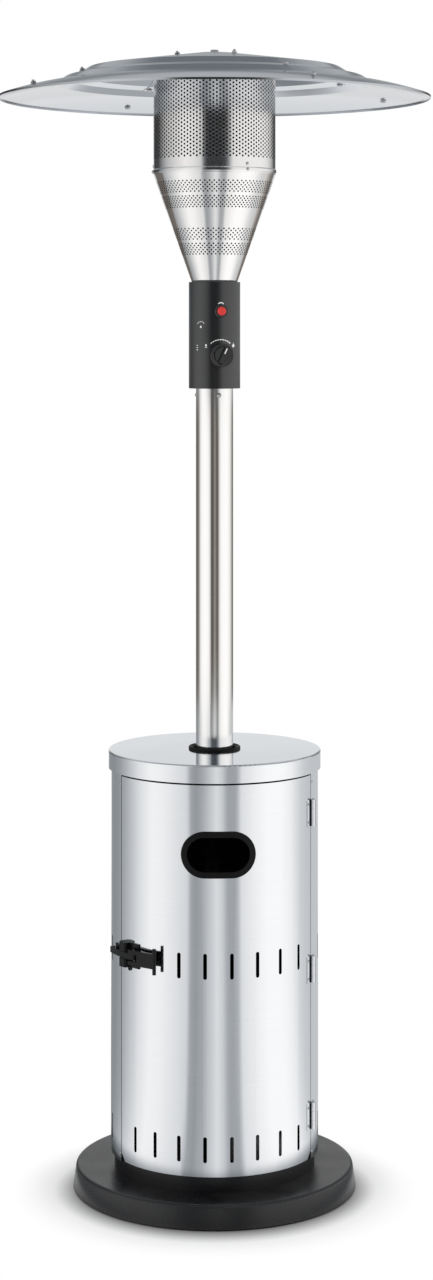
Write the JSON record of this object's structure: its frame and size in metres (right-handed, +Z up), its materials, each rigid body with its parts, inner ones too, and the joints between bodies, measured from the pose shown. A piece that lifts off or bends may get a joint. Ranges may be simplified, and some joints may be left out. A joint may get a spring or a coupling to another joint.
{
  "type": "patio heater",
  "caption": "Free-standing gas patio heater: round base, cylindrical bottle housing with hinged door, pole, control head, perforated emitter and dish reflector.",
  "frame": {"origin": "on the floor, under the pole's axis", "axes": "+Z up the pole, -Y out through the middle of the door"},
  "size_m": [0.83, 0.83, 2.1805],
  "materials": {
    "black_coat": "satin powder coat",
    "black_plastic": "satin",
    "black_rubber": "matt",
    "brass": "turned",
    "brushed_wall": "brushed, satin",
    "plain_steel": "zinc plated",
    "red_button": "gloss",
    "reflector_sheet": "satin",
    "screen_steel": "bright"
  },
  "bodies": {
    "stand": {"base_cover": "black_coat", "base_feet": "black_rubber", "housing_plinth": "black_coat", "support_leg_rear": "black_coat", "support_leg_left": "black_coat", "support_leg_right": "black_coat", "pole_socket": "black_coat", "foot_bolts": "plain_steel", "socket_bolts": "plain_steel", "housing_back_shell": "brushed_wall", "housing_lid": "brushed_wall", "lid_ring": "black_rubber", "shell_hinge_high": "plain_steel", "shell_hinge_middle": "plain_steel", "shell_hinge_low": "plain_steel", "hinge_pins": "plain_steel", "latch_keeper": "black_coat", "pole": "brushed_wall", "pole_screws": "plain_steel", "control_base_cap": "black_coat", "control_housing": "black_coat", "control_top_cap": "black_coat", "knob_bezel": "black_plastic", "gas_valve": "brass", "gas_inlet": "brass", "gas_jet": "brass", "mixer_tube": "plain_steel", "igniter_bezel": "black_plastic", "igniter_body": "black_plastic", "tilt_switch": "black_plastic", "cone_shroud": "screen_steel", "burner_tray": "plain_steel", "burner_head": "plain_steel", "thermocouple": "plain_steel", "spark_electrode": "plain_steel", "bead_ring": "screen_steel", "emitter_screen": "screen_steel", "emitter_top": "screen_steel", "reflector_studs": "plain_steel", "reflector_hub": "plain_steel", "reflector_panel_right": "reflector_sheet", "reflector_panel_rear": "reflector_sheet", "reflector_panel_left": "reflector_sheet", "reflector_panel_front": "reflector_sheet", "crown_nut": "plain_steel"},
    "door": {"door_panel": "brushed_wall", "window_frame": "black_rubber", "door_hinge_high": "plain_steel", "door_hinge_middle": "plain_steel", "door_hinge_low": "plain_steel", "latch_base": "black_coat", "latch_pin": "plain_steel"},
    "lever": {"latch_lever": "black_coat", "claw_pin": "plain_steel"},
    "claw": {"latch_claw": "black_coat"},
    "plunger": {"valve_plunger": "brass"},
    "knob": {"control_knob": "black_plastic", "valve_spindle": "brass"},
    "button": {"igniter_button": "red_button"}
  },
  "joints": [
    {"name": "door_hinge", "type": "hinge", "parent": "stand", "child": "door", "pos_m": [0.18335, -0.08943, 0.4328], "axis": [0, 0, 1], "range_deg": [0, 115]},
    {"name": "latch_lever_pull", "type": "hinge", "parent": "door", "child": "lever", "pos_m": [-0.16041, -0.13138, 0.47], "axis": [0, 0, -1], "range_deg": [0, 100]},
    {"name": "latch_claw_swing", "type": "hinge", "parent": "lever", "child": "claw", "pos_m": [-0.15634, -0.13954, 0.47], "axis": [0, 0, -1], "range_deg": [-100, 0]},
    {"name": "knob_push", "type": "slide", "parent": "stand", "child": "plunger", "axis": [-0.213, 0.977, 0], "range_m": [0, 0.005], "stiffness_N_per_m": 1200, "springref_m": -0.002},
    {"name": "knob_turn", "type": "hinge", "parent": "plunger", "child": "knob", "pos_m": [0.01278, -0.05862, 1.5936], "axis": [0.213, -0.977, 0], "range_deg": [-35, 115]},
    {"name": "igniter_push", "type": "slide", "parent": "stand", "child": "button", "axis": [-0.213, 0.977, 0], "range_m": [0, 0.004], "stiffness_N_per_m": 1500, "springref_m": -0.002}
  ],
  "couplings": [
    {"joint": "latch_claw_swing", "follows": "latch_lever_pull", "ratio": -1}
  ]
}
